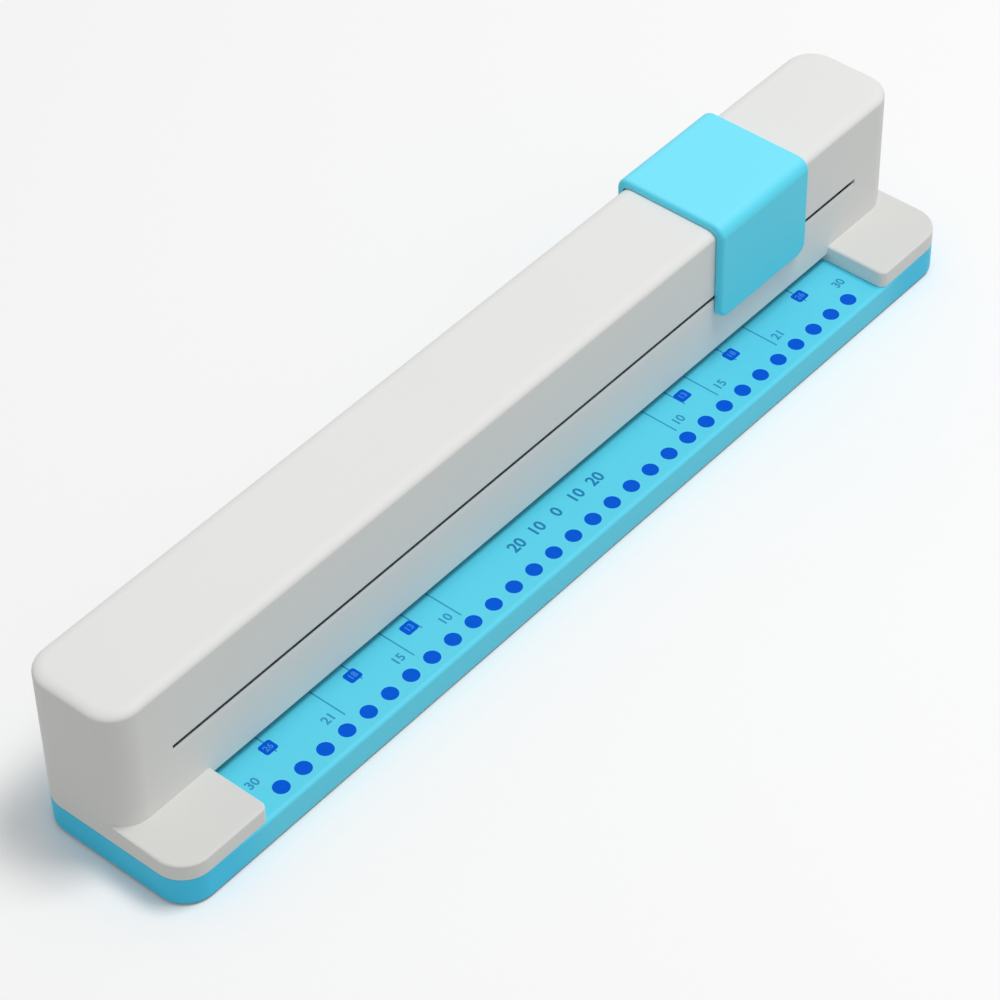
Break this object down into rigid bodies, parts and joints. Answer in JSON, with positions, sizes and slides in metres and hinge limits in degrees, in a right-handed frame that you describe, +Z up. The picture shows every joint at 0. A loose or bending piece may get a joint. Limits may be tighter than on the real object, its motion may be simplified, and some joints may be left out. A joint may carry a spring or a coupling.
{
  "type": "thirty-hole punch",
  "caption": "Long desk punch: a slider pushed along a closed beam presses a row of sprung pins through the edge of a sheet that lies on a marked ledge.",
  "frame": {"origin": "on the table, under the middle of the bounding box", "axes": "+X along the beam towards the end where the slider stands, +Y from the ledge to the back, +Z up"},
  "size_m": [0.368, 0.0632, 0.0664],
  "materials": {
    "white_plastic": "satin moulded ABS",
    "cyan_plastic": "satin moulded ABS",
    "bright_steel": "zinc plated",
    "dark_steel": "oiled tool steel",
    "natural_plastic": "natural acetal",
    "black_clip": "black oxide",
    "rubber": "matt"
  },
  "bodies": {
    "frame": {"casing": "white_plastic", "base": "cyan_plastic", "die_plate": "bright_steel", "paper_stop": "dark_steel", "punch_channel": "bright_steel", "pin_guide_bar": "natural_plastic", "guide_bar_dowels": "dark_steel", "return_springs": "bright_steel", "channel_screws": "dark_steel", "casing_screws": "dark_steel", "door_hinge_pins": "bright_steel", "rubber_feet": "rubber"},
    "slider": {"slider_handle": "cyan_plastic", "carriage": "natural_plastic", "roller_axle": "bright_steel", "axle_clips": "black_clip"},
    "roller": {"press_roller": "bright_steel"},
    "door": {"chip_door": "cyan_plastic"},
    "pin_01": {"punch_pin_01": "dark_steel"},
    "pin_02": {"punch_pin_02": "dark_steel"},
    "pin_03": {"punch_pin_03": "dark_steel"},
    "pin_04": {"punch_pin_04": "dark_steel"},
    "pin_05": {"punch_pin_05": "dark_steel"},
    "pin_06": {"punch_pin_06": "dark_steel"},
    "pin_07": {"punch_pin_07": "dark_steel"},
    "pin_08": {"punch_pin_08": "dark_steel"},
    "pin_09": {"punch_pin_09": "dark_steel"},
    "pin_10": {"punch_pin_10": "dark_steel"},
    "pin_11": {"punch_pin_11": "dark_steel"},
    "pin_12": {"punch_pin_12": "dark_steel"},
    "pin_13": {"punch_pin_13": "dark_steel"},
    "pin_14": {"punch_pin_14": "dark_steel"},
    "pin_15": {"punch_pin_15": "dark_steel"},
    "pin_16": {"punch_pin_16": "dark_steel"},
    "pin_17": {"punch_pin_17": "dark_steel"},
    "pin_18": {"punch_pin_18": "dark_steel"},
    "pin_19": {"punch_pin_19": "dark_steel"},
    "pin_20": {"punch_pin_20": "dark_steel"},
    "pin_21": {"punch_pin_21": "dark_steel"},
    "pin_22": {"punch_pin_22": "dark_steel"},
    "pin_23": {"punch_pin_23": "dark_steel"},
    "pin_24": {"punch_pin_24": "dark_steel"},
    "pin_25": {"punch_pin_25": "dark_steel"},
    "pin_26": {"punch_pin_26": "dark_steel"},
    "pin_27": {"punch_pin_27": "dark_steel"},
    "pin_28": {"punch_pin_28": "dark_steel"},
    "pin_29": {"punch_pin_29": "dark_steel"},
    "pin_30": {"punch_pin_30": "dark_steel"}
  },
  "joints": [
    {"name": "slider_slide", "type": "slide", "parent": "frame", "child": "slider", "axis": [1, 0, 0], "range_m": [-0.259, 0.04]},
    {"name": "press_roller_spin", "type": "hinge", "parent": "slider", "child": "roller", "pos_m": [0.1095, 0.01005, 0.04995], "axis": [0, 1, 0], "continuous": true},
    {"name": "chip_door_hinge", "type": "hinge", "parent": "frame", "child": "door", "pos_m": [0, 0.0239, 0.0027], "axis": [1, 0, 0], "range_deg": [0, 95]},
    {"name": "punch_pin_01_press", "type": "slide", "parent": "frame", "child": "pin_01", "axis": [0, 0, -1], "range_m": [0, 0.006], "stiffness_N_per_m": 400, "springref_m": -0.004, "deforming": ["return_springs"]},
    {"name": "punch_pin_02_press", "type": "slide", "parent": "frame", "child": "pin_02", "axis": [0, 0, -1], "range_m": [0, 0.006], "stiffness_N_per_m": 400, "springref_m": -0.004, "deforming": ["return_springs"]},
    {"name": "punch_pin_03_press", "type": "slide", "parent": "frame", "child": "pin_03", "axis": [0, 0, -1], "range_m": [0, 0.006], "stiffness_N_per_m": 400, "springref_m": -0.004, "deforming": ["return_springs"]},
    {"name": "punch_pin_04_press", "type": "slide", "parent": "frame", "child": "pin_04", "axis": [0, 0, -1], "range_m": [0, 0.006], "stiffness_N_per_m": 400, "springref_m": -0.004, "deforming": ["return_springs"]},
    {"name": "punch_pin_05_press", "type": "slide", "parent": "frame", "child": "pin_05", "axis": [0, 0, -1], "range_m": [0, 0.006], "stiffness_N_per_m": 400, "springref_m": -0.004, "deforming": ["return_springs"]},
    {"name": "punch_pin_06_press", "type": "slide", "parent": "frame", "child": "pin_06", "axis": [0, 0, -1], "range_m": [0, 0.006], "stiffness_N_per_m": 400, "springref_m": -0.004, "deforming": ["return_springs"]},
    {"name": "punch_pin_07_press", "type": "slide", "parent": "frame", "child": "pin_07", "axis": [0, 0, -1], "range_m": [0, 0.006], "stiffness_N_per_m": 400, "springref_m": -0.004, "deforming": ["return_springs"]},
    {"name": "punch_pin_08_press", "type": "slide", "parent": "frame", "child": "pin_08", "axis": [0, 0, -1], "range_m": [0, 0.006], "stiffness_N_per_m": 400, "springref_m": -0.004, "deforming": ["return_springs"]},
    {"name": "punch_pin_09_press", "type": "slide", "parent": "frame", "child": "pin_09", "axis": [0, 0, -1], "range_m": [0, 0.006], "stiffness_N_per_m": 400, "springref_m": -0.004, "deforming": ["return_springs"]},
    {"name": "punch_pin_10_press", "type": "slide", "parent": "frame", "child": "pin_10", "axis": [0, 0, -1], "range_m": [0, 0.006], "stiffness_N_per_m": 400, "springref_m": -0.004, "deforming": ["return_springs"]},
    {"name": "punch_pin_11_press", "type": "slide", "parent": "frame", "child": "pin_11", "axis": [0, 0, -1], "range_m": [0, 0.006], "stiffness_N_per_m": 400, "springref_m": -0.004, "deforming": ["return_springs"]},
    {"name": "punch_pin_12_press", "type": "slide", "parent": "frame", "child": "pin_12", "axis": [0, 0, -1], "range_m": [0, 0.006], "stiffness_N_per_m": 400, "springref_m": -0.004, "deforming": ["return_springs"]},
    {"name": "punch_pin_13_press", "type": "slide", "parent": "frame", "child": "pin_13", "axis": [0, 0, -1], "range_m": [0, 0.006], "stiffness_N_per_m": 400, "springref_m": -0.004, "deforming": ["return_springs"]},
    {"name": "punch_pin_14_press", "type": "slide", "parent": "frame", "child": "pin_14", "axis": [0, 0, -1], "range_m": [0, 0.006], "stiffness_N_per_m": 400, "springref_m": -0.004, "deforming": ["return_springs"]},
    {"name": "punch_pin_15_press", "type": "slide", "parent": "frame", "child": "pin_15", "axis": [0, 0, -1], "range_m": [0, 0.006], "stiffness_N_per_m": 400, "springref_m": -0.004, "deforming": ["return_springs"]},
    {"name": "punch_pin_16_press", "type": "slide", "parent": "frame", "child": "pin_16", "axis": [0, 0, -1], "range_m": [0, 0.006], "stiffness_N_per_m": 400, "springref_m": -0.004, "deforming": ["return_springs"]},
    {"name": "punch_pin_17_press", "type": "slide", "parent": "frame", "child": "pin_17", "axis": [0, 0, -1], "range_m": [0, 0.006], "stiffness_N_per_m": 400, "springref_m": -0.004, "deforming": ["return_springs"]},
    {"name": "punch_pin_18_press", "type": "slide", "parent": "frame", "child": "pin_18", "axis": [0, 0, -1], "range_m": [0, 0.006], "stiffness_N_per_m": 400, "springref_m": -0.004, "deforming": ["return_springs"]},
    {"name": "punch_pin_19_press", "type": "slide", "parent": "frame", "child": "pin_19", "axis": [0, 0, -1], "range_m": [0, 0.006], "stiffness_N_per_m": 400, "springref_m": -0.004, "deforming": ["return_springs"]},
    {"name": "punch_pin_20_press", "type": "slide", "parent": "frame", "child": "pin_20", "axis": [0, 0, -1], "range_m": [0, 0.006], "stiffness_N_per_m": 400, "springref_m": -0.004, "deforming": ["return_springs"]},
    {"name": "punch_pin_21_press", "type": "slide", "parent": "frame", "child": "pin_21", "axis": [0, 0, -1], "range_m": [0, 0.006], "stiffness_N_per_m": 400, "springref_m": -0.004, "deforming": ["return_springs"]},
    {"name": "punch_pin_22_press", "type": "slide", "parent": "frame", "child": "pin_22", "axis": [0, 0, -1], "range_m": [0, 0.006], "stiffness_N_per_m": 400, "springref_m": -0.004, "deforming": ["return_springs"]},
    {"name": "punch_pin_23_press", "type": "slide", "parent": "frame", "child": "pin_23", "axis": [0, 0, -1], "range_m": [0, 0.006], "stiffness_N_per_m": 400, "springref_m": -0.004, "deforming": ["return_springs"]},
    {"name": "punch_pin_24_press", "type": "slide", "parent": "frame", "child": "pin_24", "axis": [0, 0, -1], "range_m": [0, 0.006], "stiffness_N_per_m": 400, "springref_m": -0.004, "deforming": ["return_springs"]},
    {"name": "punch_pin_25_press", "type": "slide", "parent": "frame", "child": "pin_25", "axis": [0, 0, -1], "range_m": [0, 0.006], "stiffness_N_per_m": 400, "springref_m": -0.004, "deforming": ["return_springs"]},
    {"name": "punch_pin_26_press", "type": "slide", "parent": "frame", "child": "pin_26", "axis": [0, 0, -1], "range_m": [0, 0.006], "stiffness_N_per_m": 400, "springref_m": -0.004, "deforming": ["return_springs"]},
    {"name": "punch_pin_27_press", "type": "slide", "parent": "frame", "child": "pin_27", "axis": [0, 0, -1], "range_m": [0, 0.006], "stiffness_N_per_m": 400, "springref_m": -0.004, "deforming": ["return_springs"]},
    {"name": "punch_pin_28_press", "type": "slide", "parent": "frame", "child": "pin_28", "axis": [0, 0, -1], "range_m": [0, 0.006], "stiffness_N_per_m": 400, "springref_m": -0.004, "deforming": ["return_springs"]},
    {"name": "punch_pin_29_press", "type": "slide", "parent": "frame", "child": "pin_29", "axis": [0, 0, -1], "range_m": [0, 0.006], "stiffness_N_per_m": 400, "springref_m": -0.004, "deforming": ["return_springs"]},
    {"name": "punch_pin_30_press", "type": "slide", "parent": "frame", "child": "pin_30", "axis": [0, 0, -1], "range_m": [0, 0.006], "stiffness_N_per_m": 400, "springref_m": -0.004, "deforming": ["return_springs"]}
  ],
  "couplings": [
    {"joint": "press_roller_spin", "follows": "slider_slide", "rad_per_m": 99.502}
  ]
}
